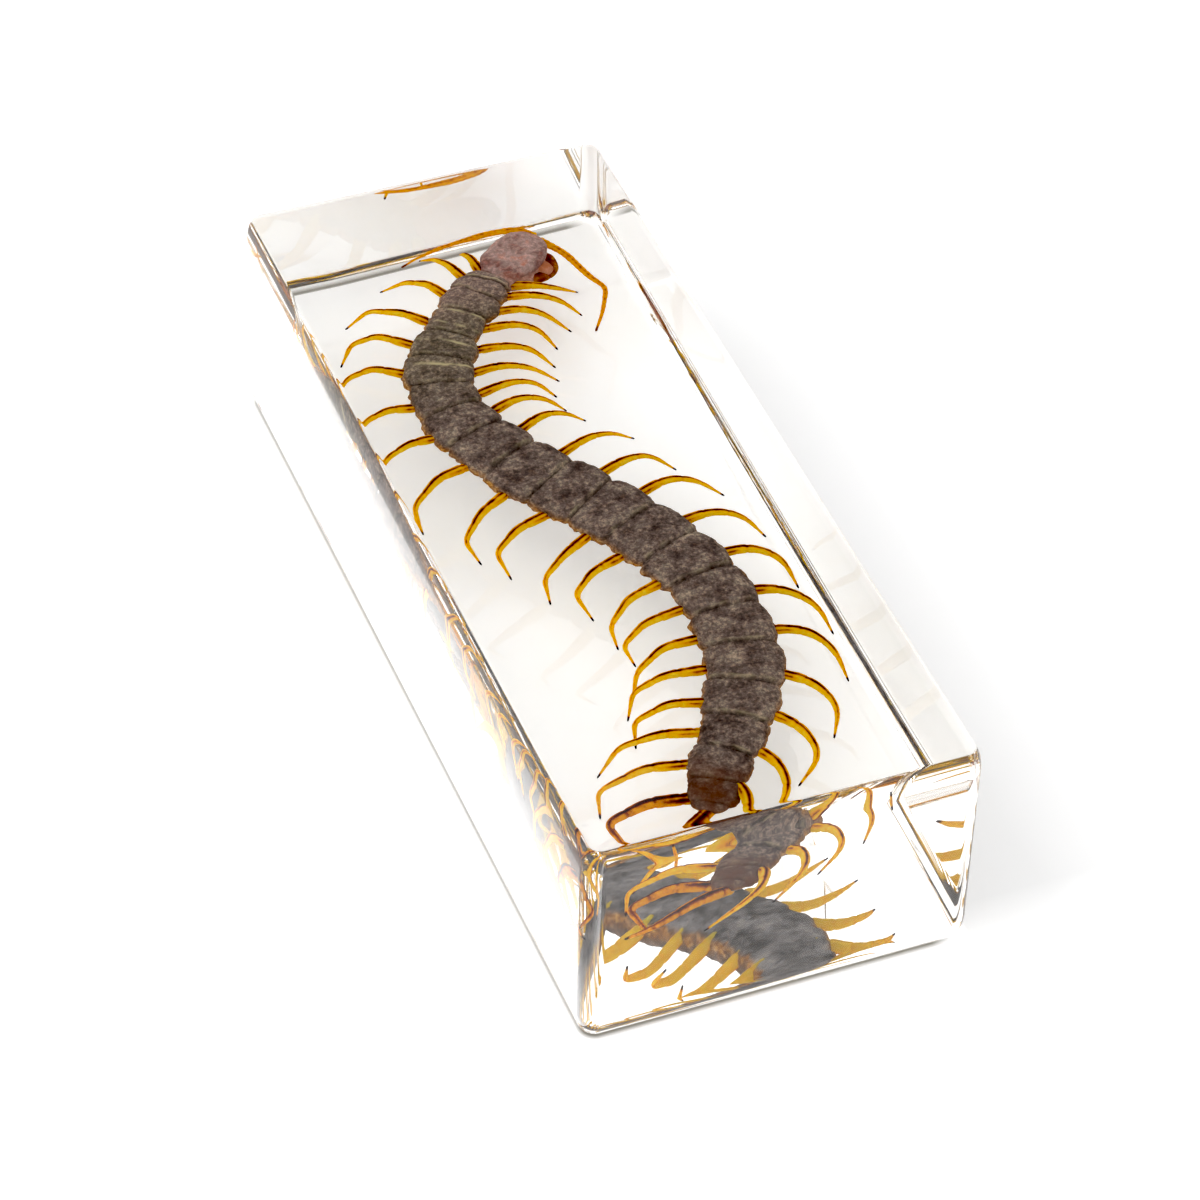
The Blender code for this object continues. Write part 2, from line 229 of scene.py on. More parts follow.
# %% [markdown]
# ## Finishes of the animal
#
# A dried centipede is not one colour. The back is dark brown going grey or olive, with a
# fine grain. The head is redder and lighter. The legs and feelers are thin horn, so light
# comes through them: amber, with a dark line along the top and dark claws. The resin wets
# every surface, so none of them shines. The IOR is only a little above 1, because what
# counts is the step from resin to shell. All patterns come from noise in real sizes.
#
# The back is dried plate, dull and grained: patches a few mm wide from umber to grey-brown,
# a grain of half a millimetre, and paler crumbs. The front quarter is more olive and the
# neck lighter. A picture could be laid on it, but noise looks the same from every side and
# needs no seam.

# %% Grain of the back
SHELL_IOR = 1.06
back_shell = new_material("Dried brown chitin, dull and grained")
place = add(back_shell, "ShaderNodeTexCoord")
along = add(back_shell, "ShaderNodeSeparateXYZ", {0: place.outputs["Object"]})
patches = add(back_shell, "ShaderNodeTexNoise", {"Vector": place.outputs["Object"]},
              {"Scale": 420.0, "Detail": 6.0, "Roughness": 0.72})
grain = add(back_shell, "ShaderNodeTexNoise", {"Vector": place.outputs["Object"]},
            {"Scale": 2100.0, "Detail": 4.0, "Roughness": 0.75})
brown = add(back_shell, "ShaderNodeValToRGB", {"Fac": patches.outputs["Fac"]},
            stops=((0.34, "4C3D38"), (0.45, "70605A"), (0.55, "8C7B72"), (0.68, "AC9C8C")))
crumb = add(back_shell, "ShaderNodeValToRGB", {"Fac": grain.outputs["Fac"]},
            stops=((0.36, "302A26"), (0.50, "8A8A8A"), (0.64, "F6EEDC")))
olive = add(back_shell, "ShaderNodeMapRange", {0: along.outputs["Y"]},
            {1: 20 * MM, 2: 30 * MM, 3: 0.0, 4: 0.35})
tinted = add(back_shell, "ShaderNodeMix", {0: olive.outputs[0], 6: brown.outputs["Color"]},
             {7: linear("807860")}, data_type="RGBA")
neck = add(back_shell, "ShaderNodeMapRange", {0: along.outputs["Y"]},
           {1: 35 * MM, 2: 40 * MM, 3: 0.0, 4: 0.6})
lighter = add(back_shell, "ShaderNodeMix", {0: neck.outputs[0], 6: tinted.outputs[2]},
              {7: linear("A88E86")}, data_type="RGBA")
grained = add(back_shell, "ShaderNodeMix",
              {6: lighter.outputs[2], 7: crumb.outputs["Color"]}, {0: 0.6},
              data_type="RGBA", blend_type="OVERLAY")
print("grain of the back:", len(back_shell.node_tree.nodes), "nodes")

# %% [markdown]
# Some marks follow the plates and not the noise: their pale rims, the dark seams between
# them, the orange skin of the flank, the redder tail and the ash-grey belly. They could be
# separate strips of mesh, but they have no edge of their own. So the body mesh carries one
# painted share for each, and the finish mixes a colour in by that share.

# %% Marks of the back
pale = add(back_shell, "ShaderNodeAttribute", attribute_name="pale")
rimmed = add(back_shell, "ShaderNodeMix",
             {0: pale.outputs["Fac"], 6: grained.outputs[2]}, {7: linear("C4B68C")},
             data_type="RGBA")
seam = add(back_shell, "ShaderNodeAttribute", attribute_name="seam")
seamed = add(back_shell, "ShaderNodeMix",
             {0: seam.outputs["Fac"], 6: rimmed.outputs[2]}, {7: linear("241A16")},
             data_type="RGBA")
skin = add(back_shell, "ShaderNodeAttribute", attribute_name="skin")
orange = add(back_shell, "ShaderNodeValToRGB", {"Fac": grain.outputs["Fac"]},
             stops=((0.35, "6A4020"), (0.5, "A87236"), (0.68, "E0B468")))
skinned = add(back_shell, "ShaderNodeMix",
              {0: skin.outputs["Fac"], 6: seamed.outputs[2], 7: orange.outputs["Color"]},
              data_type="RGBA")
warm = add(back_shell, "ShaderNodeAttribute", attribute_name="warm")
warmed = add(back_shell, "ShaderNodeMix",
             {0: warm.outputs["Fac"], 6: skinned.outputs[2]}, {7: linear("5A3018")},
             data_type="RGBA")
under = add(back_shell, "ShaderNodeAttribute", attribute_name="under")
ashen = add(back_shell, "ShaderNodeValToRGB", {"Fac": patches.outputs["Fac"]},
            stops=((0.38, "3A3634"), (0.48, "6E6A6A"), (0.56, "888486"), (0.68, "ACA6A0")))
bellied = add(back_shell, "ShaderNodeMix",
              {0: under.outputs["Fac"], 6: warmed.outputs[2], 7: ashen.outputs["Color"]},
              data_type="RGBA")
bump = add(back_shell, "ShaderNodeBump", {"Height": grain.outputs["Fac"]},
           {"Strength": 0.6, "Distance": 0.0002})
surface = add(back_shell, "ShaderNodeBsdfPrincipled",
              {"Base Color": bellied.outputs[2], "Normal": bump.outputs["Normal"]},
              {"Roughness": 0.6, "IOR": SHELL_IOR})
add(back_shell, "ShaderNodeOutputMaterial", {"Surface": surface.outputs["BSDF"]})
print(back_shell.name, "has", len(back_shell.node_tree.nodes), "nodes")

# %% [markdown]
# The head is smoother horn: dusty red-brown with a purple shade, and orange where it is
# thin. The same noise as on the back would make it look like one more plate, so it gets
# softer patches and a weaker grain.

# %% Red-brown shell of the head
head_shell = new_material("Red-brown chitin, smooth and dusty")
place = add(head_shell, "ShaderNodeTexCoord")
patches = add(head_shell, "ShaderNodeTexNoise", {"Vector": place.outputs["Object"]},
              {"Scale": 420.0, "Detail": 6.0, "Roughness": 0.65})
dust = add(head_shell, "ShaderNodeTexNoise", {"Vector": place.outputs["Object"]},
           {"Scale": 2200.0, "Detail": 3.0, "Roughness": 0.7})
red = add(head_shell, "ShaderNodeValToRGB", {"Fac": patches.outputs["Fac"]},
          stops=((0.34, "946860"), (0.46, "B4948C"), (0.56, "C2A49C"), (0.72, "D09078")))
crumb = add(head_shell, "ShaderNodeValToRGB", {"Fac": dust.outputs["Fac"]},
            stops=((0.38, "383030"), (0.5, "7F7F7F"), (0.64, "DCCCC4")))
dusty = add(head_shell, "ShaderNodeMix",
            {6: red.outputs["Color"], 7: crumb.outputs["Color"]}, {0: 0.38},
            data_type="RGBA", blend_type="OVERLAY")
skin = add(head_shell, "ShaderNodeAttribute", attribute_name="skin")
thin = add(head_shell, "ShaderNodeMix",
           {0: skin.outputs["Fac"], 6: dusty.outputs[2]}, {7: linear("D87E44")},
           data_type="RGBA")
bump = add(head_shell, "ShaderNodeBump", {"Height": patches.outputs["Fac"]},
           {"Strength": 0.5, "Distance": 0.0003})
surface = add(head_shell, "ShaderNodeBsdfPrincipled",
              {"Base Color": thin.outputs[2], "Normal": bump.outputs["Normal"]},
              {"Roughness": 0.5, "IOR": SHELL_IOR})
add(head_shell, "ShaderNodeOutputMaterial", {"Surface": surface.outputs["BSDF"]})
print(head_shell.name, "has", len(head_shell.node_tree.nodes), "nodes")

# %% [markdown]
# The legs, feelers and claws are thin horn that lets light through. Real scattering inside
# such thin tubes is slow to render, so half of the light is let through as translucent
# light. The shade that is painted on the mesh runs from bright amber through red-brown to
# the dark claws.

# %% Amber horn of legs and feelers
horn = new_material("Translucent amber horn")
place = add(horn, "ShaderNodeTexCoord")
streaks = add(horn, "ShaderNodeTexNoise", {"Vector": place.outputs["Object"]},
              {"Scale": 1300.0, "Detail": 3.0, "Roughness": 0.6})
shade = add(horn, "ShaderNodeAttribute", attribute_name="shade")
uneven = add(horn, "ShaderNodeMath", {0: streaks.outputs["Fac"]}, {1: 0.5, 2: -0.25},
             operation="MULTIPLY_ADD")
toned = add(horn, "ShaderNodeMath", {0: shade.outputs["Fac"], 1: uneven.outputs["Value"]},
            operation="ADD")
amber = add(horn, "ShaderNodeValToRGB", {"Fac": toned.outputs["Value"]},
            stops=((0.0, "FFEA4C"), (0.20, "FFD22A"), (0.38, "F6AE14"), (0.54, "A04C0E"),
                   (0.74, "4E1C0A"), (1.0, "1A1418")))
surface = add(horn, "ShaderNodeBsdfPrincipled", {"Base Color": amber.outputs["Color"]},
              {"Roughness": 0.45, "IOR": SHELL_IOR})
through = add(horn, "ShaderNodeBsdfTranslucent", {"Color": amber.outputs["Color"]})
blend = add(horn, "ShaderNodeMixShader",
            {1: surface.outputs["BSDF"], 2: through.outputs["BSDF"]}, {0: 0.5})
add(horn, "ShaderNodeOutputMaterial", {"Surface": blend.outputs["Shader"]})
print(horn.name, "has", len(horn.node_tree.nodes), "nodes")

# %% [markdown]
# ## Body
#
# The body is a flat, jointed tube. Each segment has a hard back plate that overlaps the next
# like a roof tile and bulges at its side, which gives the scalloped outline, with a softer,
# ragged flank below and a flat belly. Separate tiles would leave straight gaps that the
# dried animal does not show, so one skin is used: a grid wrapped round the bent middle line
# and moved in and out by plate, seam, scallop and noise.

# %% Tools for wrapped skins
def curve_point(rows, position):
    """A smooth way through rows of numbers at a position counted in rows."""
    last = len(rows) - 1
    low = min(max(int(math.floor(position)), 0), last - 1)
    t = position - low
    b, c = Vector(rows[low]), Vector(rows[low + 1])
    a = Vector(rows[low - 1]) if low > 0 else 2 * b - c
    d = Vector(rows[low + 2]) if low + 2 <= last else 2 * c - b
    return 0.5 * (2 * b + (c - a) * t + (2 * a - 5 * b + 4 * c - d) * t * t
                  + (3 * b - a - 3 * c + d) * t * t * t)


def ease(value):
    """A smooth step from 0 to 1."""
    value = min(max(value, 0.0), 1.0)
    return value * value * (3 - 2 * value)


def bump_at(value, centre, width):
    """A bell of height 1 round a centre."""
    return math.exp(-((value - centre) / width) ** 2)


def signed_power(value, power):
    return math.copysign(abs(value) ** power, value)


def wrapped_skin(work, along, around, shape):
    """A closed skin: a grid rolled up by shape(share along, turn, vertex) and welded."""
    sheet = bmesh.ops.create_grid(work, x_segments=along, y_segments=around, size=1.0)["verts"]
    for vert in sheet:
        share = (vert.co.x + 1) / 2
        turn = (vert.co.y + 1) / 2 % 1.0
        vert.co = shape(share, 2 * math.pi * turn, vert) * MM
    bmesh.ops.remove_doubles(work, verts=sheet, dist=0.001 * MM)


# Unless it is given a seed, this noise starts from the clock and differs at each run.
NOISE_SEED = 7
noise.seed_set(NOISE_SEED)


def ragged(place, grain_size, seed=0.0):
    """A noise vector at a place given in mm."""
    return noise.noise_vector(place / grain_size + Vector((seed, seed, 0)))


# %% Sizes of the body skin
BODY_HEIGHT = 12.1
TAIL_END = (-4.5, -45.2, 1.9)
BODY_ROWS = (*SEGMENTS, TAIL_END)
BODY_END = len(BODY_ROWS) - 1.0
FRONT_END = -0.4
BODY_RINGS = 620
BODY_SIDES = 84
# Heights in mm over and under the middle line, and how much thinner the tail is from which
# row on, over how many rows.
DOME_HEIGHT = 1.95
BELLY_DEPTH = 1.10
TAIL_THINNING = 0.40
THIN_FROM_ROW = 14
THIN_OVER_ROWS = 7
# How far a plate bulges past its seams and how deep the seam cuts in, as shares of the half
# width, and how much of the length closes each end.
BULGE_RIGHT = 0.15
BULGE_LEFT = 0.08
SEAM_NOTCH = 0.04
NECK_CLOSING = 0.02
TAIL_CLOSING = 0.035
# In mm: the rise of a plate to its rear edge, the dip behind it, and the raggedness of the
# whole skin, of its fine crumbs and of the flank on each side.
REAR_RISE = 0.30
SEAM_DIP = 0.34
WAVINESS = 0.16
CRUMBS = 0.11
LOOSE_LEFT = 0.45
LOOSE_RIGHT = 0.18
# Where the pale bands lie, in rows. All of them are on the front plates.
PALE_SEAMS = (0.35, 2.6, 3.2, 3.95, 4.85)
print("body skin:", BODY_RINGS, "by", BODY_SIDES, "faces over", len(BODY_ROWS), "rows")

# %% The body skin
body = bmesh.new()
pale_rim = body.verts.layers.float.new("pale")
dark_seam = body.verts.layers.float.new("seam")
flank_skin = body.verts.layers.float.new("skin")
red_tail = body.verts.layers.float.new("warm")
ash_belly = body.verts.layers.float.new("under")


def body_shape(share, turn, vert):
    position = FRONT_END + share * (BODY_END - FRONT_END)
    middle = curve_point(BODY_ROWS, position)
    ahead = curve_point(BODY_ROWS, position - 0.05) - curve_point(BODY_ROWS, position + 0.05)
    forward = Vector((ahead.x, ahead.y, 0)).normalized()
    right = Vector((forward.y, -forward.x, 0))
    across, up = math.cos(turn), math.sin(turn)
    side = 1.0 if across > 0 else -1.0

    # A plate runs from one seam to the next: 0 at its front and 1 at its rear edge.
    plate_share = (position + 0.5) % 1.0
    number = math.floor(position + 0.5)
    from_seam = min(plate_share, 1 - plate_share)
    arch = math.sin(math.pi * min(plate_share * 0.92 + 0.04, 1.0)) ** 0.6
    outward = BULGE_RIGHT if side > 0 else BULGE_LEFT
    half = middle.z * (1.0 - outward * (1 - arch) + 0.03 * math.sin(3.1 * number + side))
    half *= 1.0 - SEAM_NOTCH * bump_at(from_seam, 0.0, 0.06)

    # The closing of the two ends.
    closing = min(1.0, share / NECK_CLOSING, (1 - share) / TAIL_CLOSING)
    half *= math.sqrt(max(0.0, 1 - (1 - closing) ** 2))

    thin_tail = 1.0 - TAIL_THINNING * ease((position - THIN_FROM_ROW) / THIN_OVER_ROWS)
    dome = DOME_HEIGHT * thin_tail
    belly = BELLY_DEPTH * thin_tail
    height = dome * signed_power(up, 0.75) if up > 0 else belly * signed_power(up, 0.6)
    height *= math.sqrt(max(0.0, 1 - (1 - closing) ** 2))
    top = ease(up * 1.4)
    # Rear edges lie on top of the next plate: a low step at every seam.
    rise = REAR_RISE * plate_share - SEAM_DIP * bump_at(from_seam, 0.0, 0.035)
    height += top * closing * rise
    lateral = half * signed_power(across, 0.85)

    place = Vector((middle.x, middle.y, BODY_HEIGHT)) + right * lateral + Vector((0, 0, height))
    low_side = ease(1.0 - abs(up + 0.15) * 1.7)
    place += ragged(place, 1.7, 3.0) * WAVINESS * closing
    place += ragged(place, 0.55, 9.0) * CRUMBS * closing
    loose = LOOSE_LEFT if side < 0 else LOOSE_RIGHT
    place += right * side * low_side * (0.10 + loose * ragged(place, 0.8, 21.0).x) * closing

    streak = 0.5 + 1.5 * ragged(place, 1.3, 31.0).y
    pale = sum(bump_at(position, seam, 0.04) for seam in PALE_SEAMS)
    vert[pale_rim] = min(1.0, max(0.0, top * streak * (
        pale + 0.25 * bump_at(plate_share, 0.95, 0.035))))
    broken = 0.55 + 0.9 * ragged(place, 1.2, 37.0).x
    vert[dark_seam] = min(0.55, max(0.0, top * broken * bump_at(from_seam, 0.0, 0.03)))
    vert[ash_belly] = ease((-up - 0.25) * 3)
    vert[flank_skin] = min(1.0, max(0.0, low_side * (0.75 + 0.8 * ragged(place, 1.1, 41.0).z)))
    reddened = 0.9 * ease((position - 18.6) / 1.2) * (0.8 + 0.5 * ragged(place, 1.5, 51.0).x)
    vert[red_tail] = min(1.0, max(0.0, reddened))
    return place


wrapped_skin(body, BODY_RINGS, BODY_SIDES, body_shape)
finish_piece(body, "body", back_shell, ("centipede",))

# %% [markdown]
# ## Head and poison claws
#
# The head is a flat rounded shield with a shallow groove down its middle. Under it a wide
# plate carries the two poison claws, which curve round the head and show as an
# orange-edged bulge on its right side. Rounded domes are enough for the plates, because
# noise gives them their dents, and each claw is a short tapered limb.

# %% The head
HEAD_TURN = math.radians(38.0)
# A power below 1 makes a dome squarer than an egg.
HEAD_SQUARENESS = 0.88
GROOVE_DEPTH = 0.10
GROOVE_WIDTH = 0.10
HEAD_PARTS = (
    # centre, size, share of orange
    ((7.9, 44.7, 12.6), (9.2, 6.6, 3.0), 0.0),
    ((7.5, 43.1, 11.6), (8.2, 6.0, 2.8), 0.15),
    ((10.1, 42.5, 11.5), (2.4, 3.6, 2.2), 0.5),
    ((6.4, 42.0, 12.5), (5.6, 3.0, 2.4), 0.1),
)
head = bmesh.new()
orange_share = head.verts.layers.float.new("skin")
for centre, size, share in HEAD_PARTS:
    verts = bmesh.ops.create_icosphere(head, subdivisions=5, radius=1.0)["verts"]
    turned = Matrix.Rotation(HEAD_TURN, 3, "Z")
    for vert in verts:
        co = vert.co.copy()
        square = Vector([signed_power(c, HEAD_SQUARENESS) for c in co])
        groove = GROOVE_DEPTH * bump_at(co.x, 0.0, GROOVE_WIDTH) * ease(co.z)
        local = Vector((square.x * size[0], square.y * size[1], (square.z - groove) * size[2])) / 2
        place = Vector(centre) + turned @ local
        place += ragged(place, 2.0, 61.0) * 0.28 + ragged(place, 0.6, 71.0) * 0.10
        rim = ease((abs(co.x) - 0.75) * 4) + 0.5 * ease((0.1 - co.z) * 2)
        streaks = 0.4 + ragged(place, 1.3, 81.0).x
        vert[orange_share] = min(1.0, max(0.0, share + 0.6 * rim * streaks))
        vert.co = place * MM
finish_piece(head, "head", head_shell, ("centipede",))

# %% [markdown]
# ## Legs, claws and feelers
#
# A leg is a chain of tapering horn joints: straight thigh, bend at the knee, thinner shin
# and a dark claw. A plain bent tube would look like wire, so the way is a line of straight
# parts with rounded bends, the tube narrows at every joint, and the shade painted on it
# darkens a line along the top, the joints and the claw.

# %% Limb tools
def rounded_way(points, bend, samples):
    """Evenly spaced samples on straight parts joined by rounded bends."""
    corners = [Vector(p) for p in points]
    dense = [corners[0]]
    for before, corner, after in zip(corners, corners[1:], corners[2:]):
        start = corner.lerp(before, bend)
        finish = corner.lerp(after, bend)
        for step in range(9):
            t = step / 8
            dense.append(start.lerp(corner, t).lerp(corner.lerp(finish, t), t))
    dense.append(corners[-1])
    reach = [0.0]
    for before, after in zip(dense, dense[1:]):
        reach.append(reach[-1] + (after - before).length)
    way = []
    piece = 0
    for number in range(samples + 1):
        wanted = reach[-1] * number / samples
        while piece < len(dense) - 2 and reach[piece + 1] < wanted:
            piece += 1
        span = max(reach[piece + 1] - reach[piece], 1e-9)
        way.append(dense[piece].lerp(dense[piece + 1], (wanted - reach[piece]) / span))
    return way


def taper(rows, share):
    """Radius at a share of the way, from evenly spread radii."""
    position = share * (len(rows) - 1)
    low = min(int(position), len(rows) - 2)
    return rows[low] + (rows[low + 1] - rows[low]) * (position - low)


def limb(work, layer, way, radii, joints, notch, line_turn, top_line, base, tip,
         around=14, seed=0.0):
    """A jointed limb along evenly spaced points, with its shade painted on.

    notch is how much it narrows at a joint, as a share of its radius. line_turn is where
    the dark line lies round it. top_line, base and tip are the shades of that line, of the
    rest and of the end, from 0 for bright amber to 1 for the darkest horn.
    """
    count = len(way) - 1

    def shape(share, turn, vert):
        step = min(int(round(share * count)), count)
        ahead = way[min(step + 1, count)] - way[max(step - 1, 0)]
        side, up = math.cos(turn), math.sin(turn)
        frame_turn = ahead.to_track_quat("Z", "Y").to_matrix()
        end = min(1.0, share / 0.02, (1 - share) / 0.012)
        radius = taper(radii, share) * math.sqrt(max(0.0, 1 - (1 - end) ** 2))
        at_joint = max(bump_at(share, joint, 0.012) for joint in joints)
        radius *= 1.0 - notch * at_joint
        radius *= 1.0 + 0.10 * ragged(way[step], 1.1, seed + 5.0).x
        place = way[step] + frame_turn @ Vector((side, 0.85 * up, 0)) * radius
        line = bump_at(turn, line_turn, 0.36) * (1 - 0.7 * ease((share - 0.45) / 0.4))
        rear_turn = line_turn + math.copysign(1.15, math.cos(line_turn))
        second = bump_at(turn, rear_turn, 0.24) * (1 - ease((share - 0.2) / 0.15))
        line = max(line, second)
        broken = 0.95 + 0.5 * ragged(way[step], 1.2, seed + 13.0).y
        dark_tip = tip * ease((share - 0.935) / 0.05)
        shade_here = (base + 0.10 * share + top_line * line * broken
                      + 0.8 * notch * at_joint + dark_tip)
        vert[layer] = min(1.0, max(0.0, shade_here))
        return place

    wrapped_skin(work, count, around, shape)


# %% The legs
# The heights in mm of hip, arch, knee and claw, and how far into the body a leg starts, as
# a share of the way to its middle. The bends are sharper in the left legs.
LEG_HEIGHTS = (11.6, 13.0, 12.0, 9.9)
HIP_DEPTH = 0.35
LEFT_BEND = 0.26
RIGHT_BEND = 0.46
LEG_RINGS = 90
LEG_RADII = (0.62, 0.72, 0.66, 0.55, 0.45, 0.34, 0.22, 0.10)
LAST_RADII = (0.80, 0.86, 0.80, 0.70, 0.58, 0.46, 0.32, 0.16)
LEG_JOINTS = (0.13, 0.34, 0.55, 0.74, 0.88)
for side, legs in (("left", LEFT_LEGS), ("right", RIGHT_LEGS)):
    group = bmesh.new()
    shades = group.verts.layers.float.new("shade")
    for index, joints in enumerate(legs):
        x, y, _ = SEGMENTS[index]
        points = [Vector((*joint, height)) for joint, height in zip(joints, LEG_HEIGHTS)]
        points[0] = points[0].lerp(Vector((x, y, LEG_HEIGHTS[0])), HIP_DEPTH)
        last = index == len(legs) - 1
        bend = LEFT_BEND if side == "left" else RIGHT_BEND
        # The dark line lies on the top, a little towards the head.
        line_turn = math.pi * (0.60 if side == "left" else 0.40)
        limb(group, shades, rounded_way(points, bend, LEG_RINGS),
             radii=LAST_RADII if last else LEG_RADII, joints=LEG_JOINTS, notch=0.14,
             line_turn=line_turn, top_line=0.80, base=0.30 if last else 0.06, tip=0.95,
             seed=index * 7.3)
    finish_piece(group, side + "_legs", horn, ("centipede",))

# %% [markdown]
# Feelers are chains of short beads, thick and orange at the root and thin and brown at the
# end. The claws under the head are short thick limbs of the same horn.

# %% The feelers
LEFT_FEELER = (
    (11.6, 47.4, 12.4), (10.0, 49.3, 12.4), (6.5, 49.9, 12.2), (1.0, 49.6, 11.8),
    (-2.4, 48.8, 11.6), (-4.4, 48.0, 11.4),
)
RIGHT_FEELER = (
    (11.6, 46.8, 12.4), (13.6, 43.4, 12.4), (14.8, 38.8, 12.0), (16.0, 36.4, 11.6),
    (14.2, 32.8, 11.2), (12.3, 30.0, 11.0),
)
FEELER_RADII = (0.56, 0.52, 0.46, 0.34, 0.24, 0.15)
FEELER_RINGS = 240
BEAD_COUNT = 24
BEADS = [number / BEAD_COUNT for number in range(1, BEAD_COUNT)]
feelers = bmesh.new()
shades = feelers.verts.layers.float.new("shade")
for points in (LEFT_FEELER, RIGHT_FEELER):
    limb(feelers, shades, rounded_way(points, 0.30, FEELER_RINGS), radii=FEELER_RADII,
         joints=BEADS, notch=0.10, line_turn=0.5 * math.pi, top_line=0.20, base=0.20,
         tip=0.3, around=12)
finish_piece(feelers, "feelers", horn, ("centipede",))

# %% The poison claws
RIGHT_CLAW = ((8.1, 40.9, 11.3), (11.2, 41.5, 11.2), (12.0, 43.9, 11.0), (10.7, 46.0, 10.8))
LEFT_CLAW = ((5.0, 44.0, 11.3), (6.4, 47.2, 11.2), (9.2, 48.4, 11.0), (11.2, 47.8, 10.8))
CLAW_RADII = (1.0, 1.15, 0.95, 0.65, 0.2)
CLAW_RINGS = 70
claws = bmesh.new()
shades = claws.verts.layers.float.new("shade")
for points in (RIGHT_CLAW, LEFT_CLAW):
    limb(claws, shades, rounded_way(points, 0.45, CLAW_RINGS), radii=CLAW_RADII,
         joints=(0.3, 0.6), notch=0.08, line_turn=0.5 * math.pi, top_line=0.2, base=0.45,
         tip=0.5, around=20)
finish_piece(claws, "poison_claws", horn, ("centipede",))

# %% [markdown]
# ## Floor
#
# The block stands on a plain white surface. The floor glows a little by itself, like a light
# table, so the clear resin stays clear. It glows most along the block's left foot, where the
# block throws the light it gathers, and that bright strip is what the left face mirrors.
# Light gathered by resin could be traced, but that takes far more samples than a painted
# glow. A thin contact shadow runs round the foot under the rounded rim, and a faint wide
# shade lies on the right. They are painted too, from the distance to the block.

# %% Sizes of the glow and the shades
# Strengths of the glow, and in mm across the block where the bright strip starts and ends.
FLOOR_GLOW = 0.35
GATHERED_GLOW = 5.0
GATHER_START = -22.4
GATHER_END = -36.0
# All in mm. The contact line lies between two distances from the block's inner rectangle and
# fades out on the right. The wide shade starts at the right foot, fades in behind the front
# corner and reaches out from the inner rectangle.
CONTACT_SPAN = (0.5, 2.2)
CONTACT_FADE = (18.0, 20.5)
SHADE_START = (21.6, 22.4)
SHADE_FRONT = (-64.0, -50.0)
SHADE_REACH = 50.0
FLOOR_HALF_METRES = 3.0
FLOOR_DROP = 0.2
print("bright strip:", round(GATHER_START - GATHER_END, 1), "mm wide")

# %% Glow of the floor
# The floor's finish is white with a painted glow, a painted contact shadow round the foot and a
# painted wide shade on the right.
floor_paint = new_material("White studio floor with painted glow and shadows")
place = add(floor_paint, "ShaderNodeTexCoord")
cloud = add(floor_paint, "ShaderNodeTexNoise", {"Vector": place.outputs["Object"]}, {"Scale": 8.0})
white = add(floor_paint, "ShaderNodeValToRGB", {"Fac": cloud.outputs["Fac"]},
            stops=((0.2, "F6F6F6"), (0.8, "FAFAFA")))
across = add(floor_paint, "ShaderNodeSeparateXYZ", {0: place.outputs["Object"]})
from_left = add(floor_paint, "ShaderNodeMapRange", {0: across.outputs["X"]},
                {1: GATHER_END * MM, 2: GATHER_START * MM, 3: FLOOR_GLOW, 4: GATHERED_GLOW},
                interpolation_type="SMOOTHSTEP")
beside = add(floor_paint, "ShaderNodeMath", {0: across.outputs["X"]},
             {1: GATHER_START * MM}, operation="LESS_THAN")
glow = add(floor_paint, "ShaderNodeMix", {0: beside.outputs[0], 3: from_left.outputs[0]},
           {2: FLOOR_GLOW}, data_type="FLOAT")
print("glow of the floor:", len(floor_paint.node_tree.nodes), "nodes")

# %% Shades at the foot
# The distance from a rectangle inside the block gives shades with rounded corners.
folded = add(floor_paint, "ShaderNodeVectorMath", {0: place.outputs["Object"]},
             operation="ABSOLUTE")
inner = (BLOCK_WIDTH / 2 - UPRIGHT_RADIUS, BLOCK_LENGTH / 2 - UPRIGHT_RADIUS, 1.0)
from_inner = add(floor_paint, "ShaderNodeVectorMath", {0: folded.outputs["Vector"]},
                 {1: Vector(inner) * MM}, operation="SUBTRACT")
outside = add(floor_paint, "ShaderNodeVectorMath", {0: from_inner.outputs["Vector"]},
              {1: (0.0, 0.0, 0.0)}, operation="MAXIMUM")
beyond = add(floor_paint, "ShaderNodeVectorMath", {0: outside.outputs["Vector"]},
             operation="LENGTH")
at_foot = add(floor_paint, "ShaderNodeMapRange", {0: beyond.outputs["Value"]},
              {1: CONTACT_SPAN[0] * MM, 2: CONTACT_SPAN[1] * MM, 3: 0.0, 4: 1.0})
contact = add(floor_paint, "ShaderNodeValToRGB", {"Fac": at_foot.outputs[0]},
              stops=((0.25, "FFFFFF"), (0.42, "8A867E"), (0.55, "8A867E"), (0.95, "FFFFFF")))
# The foot on the right is lit through the block, so it has no line. Only a faint wide shade
# lies on the floor beside it.
on_right = add(floor_paint, "ShaderNodeMapRange", {0: across.outputs["X"]},
               {1: CONTACT_FADE[0] * MM, 2: CONTACT_FADE[1] * MM, 3: 0.0, 4: 1.0})
foot = add(floor_paint, "ShaderNodeMix",
           {0: on_right.outputs[0], 6: contact.outputs["Color"]}, {7: linear("FFFFFF")},
           data_type="RGBA")
off_right = add(floor_paint, "ShaderNodeMapRange", {0: across.outputs["X"]},
                {1: SHADE_START[0] * MM, 2: SHADE_START[1] * MM, 3: 0.0, 4: 1.0})
behind_front = add(floor_paint, "ShaderNodeMapRange", {0: across.outputs["Y"]},
                   {1: SHADE_FRONT[0] * MM, 2: SHADE_FRONT[1] * MM, 3: 0.0, 4: 1.0})
beside_right = add(floor_paint, "ShaderNodeMath",
                   {0: off_right.outputs[0], 1: behind_front.outputs[0]},
                   operation="MULTIPLY")
away = add(floor_paint, "ShaderNodeMapRange", {0: beyond.outputs["Value"]},
           {1: 0.0, 2: SHADE_REACH * MM, 3: 0.0, 4: 1.0})
